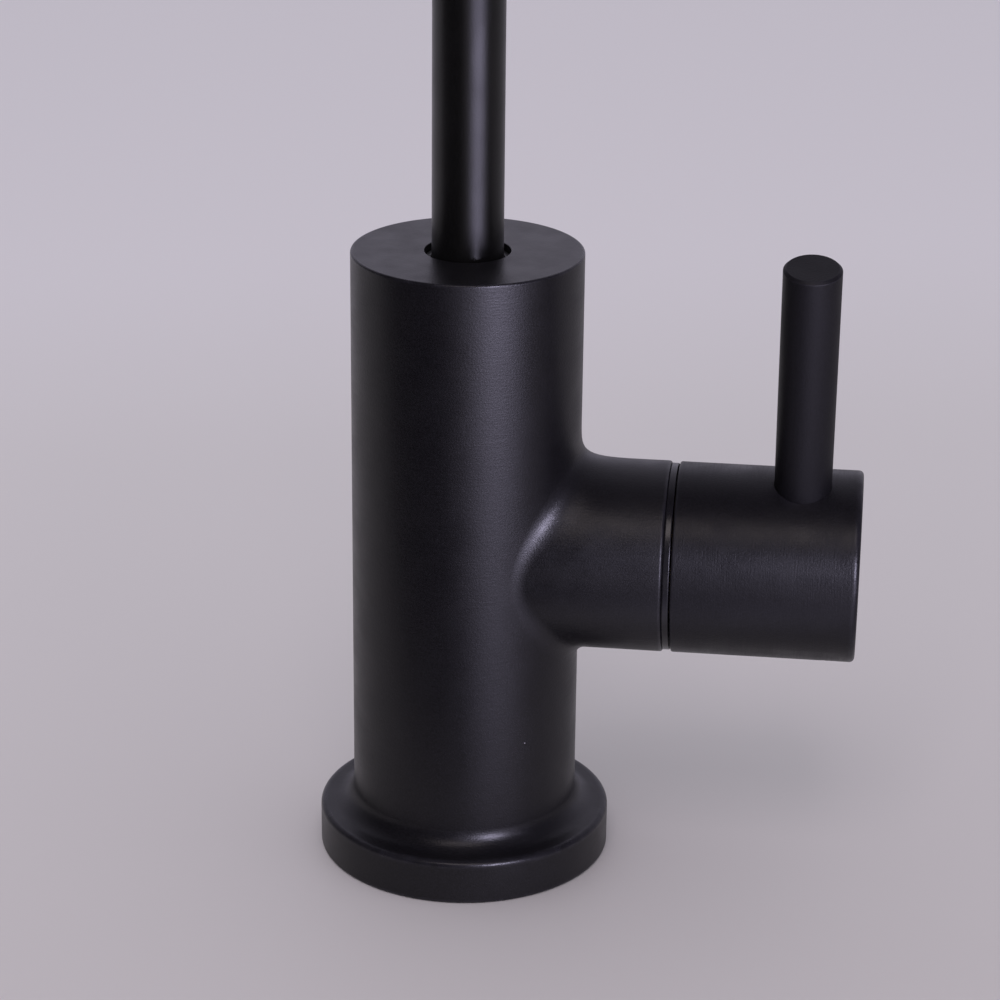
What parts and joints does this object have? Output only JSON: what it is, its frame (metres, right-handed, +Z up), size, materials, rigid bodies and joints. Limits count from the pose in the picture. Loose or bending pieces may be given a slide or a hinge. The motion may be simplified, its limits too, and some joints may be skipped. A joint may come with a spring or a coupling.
{
  "type": "water filter tap",
  "caption": "Black filtered-water tap: round body on a worktop, swivelling gooseneck spout, side lever on a quarter-turn valve, threaded shank with clamp and tube fitting below.",
  "frame": {"origin": "centre of the foot flange's underside, on the worktop's surface", "axes": "+Z up along the body, +X along the handle's axis away from the body, -Y towards the spout's outlet"},
  "size_m": [0.0772, 0.1394, 0.3675],
  "materials": {
    "matte_black_body": "matte black coating",
    "matte_black_spout": "matte black coating",
    "matte_black_hub": "matte black coating over turned metal",
    "matte_black_lever": "matte black coating over drawn rod",
    "satin_black_ring": "satin black acetal",
    "black_acetal": "moulded acetal",
    "black_rubber": "moulded rubber",
    "seal_rubber": "moulded nitrile rubber",
    "brass": "turned",
    "nickelled_nut": "nickel plated brass",
    "stainless": "stamped stainless steel",
    "alumina": "lapped alumina ceramic",
    "grey_acetal": "moulded acetal",
    "white_acetal": "moulded acetal"
  },
  "bodies": {
    "base": {"body": "matte_black_body", "base_gasket": "black_rubber", "mounting_shank": "brass", "shank_seal": "seal_rubber", "inlet_fitting": "grey_acetal", "tube_o_ring": "seal_rubber", "grab_ring": "stainless", "collet_retainer": "grey_acetal", "seat_seal": "seal_rubber", "fixed_disc": "alumina", "valve_housing": "brass", "valve_o_ring": "seal_rubber", "spacer_ring": "satin_black_ring", "snap_ring": "white_acetal", "spout_bush": "black_acetal"},
    "handle": {"turning_disc": "alumina", "spindle": "brass", "spindle_o_rings": "seal_rubber", "stop_washer": "stainless", "spindle_clip": "stainless", "handle_hub": "matte_black_hub", "lever_rod": "matte_black_lever", "grub_screw": "stainless"},
    "spout": {"spout_tube": "matte_black_spout", "spout_ferrule": "brass", "spout_o_rings": "seal_rubber", "aerator_housing": "matte_black_spout", "aerator_insert": "white_acetal", "aerator_seal": "seal_rubber"},
    "clamp_washers": {"rubber_washer": "black_rubber", "steel_washer": "stainless"},
    "lock_nut": {"lock_nut": "nickelled_nut"},
    "release_collet": {"release_collet": "white_acetal"}
  },
  "joints": [
    {"name": "handle_turn", "type": "hinge", "parent": "base", "child": "handle", "pos_m": [0.03, 0, 0.0467], "axis": [1, 0, 0], "range_deg": [-13, 77]},
    {"name": "spout_swivel", "type": "hinge", "parent": "base", "child": "spout", "pos_m": [0, 0, 0.08], "axis": [0, 0, 1], "continuous": true},
    {"name": "clamp_slide", "type": "slide", "parent": "base", "child": "clamp_washers", "axis": [0, 0, 1], "range_m": [-0.013, 0.019]},
    {"name": "nut_turn", "type": "hinge", "parent": "clamp_washers", "child": "lock_nut", "pos_m": [0, 0, -0.0275], "axis": [0, 0, 1], "range_deg": [-4680, 6840]},
    {"name": "collet_press", "type": "slide", "parent": "base", "child": "release_collet", "axis": [0, 0, 1], "range_m": [0, 0.0015]}
  ],
  "couplings": [
    {"joint": "clamp_slide", "follows": "nut_turn", "m_per_rad": 0.00015915}
  ]
}
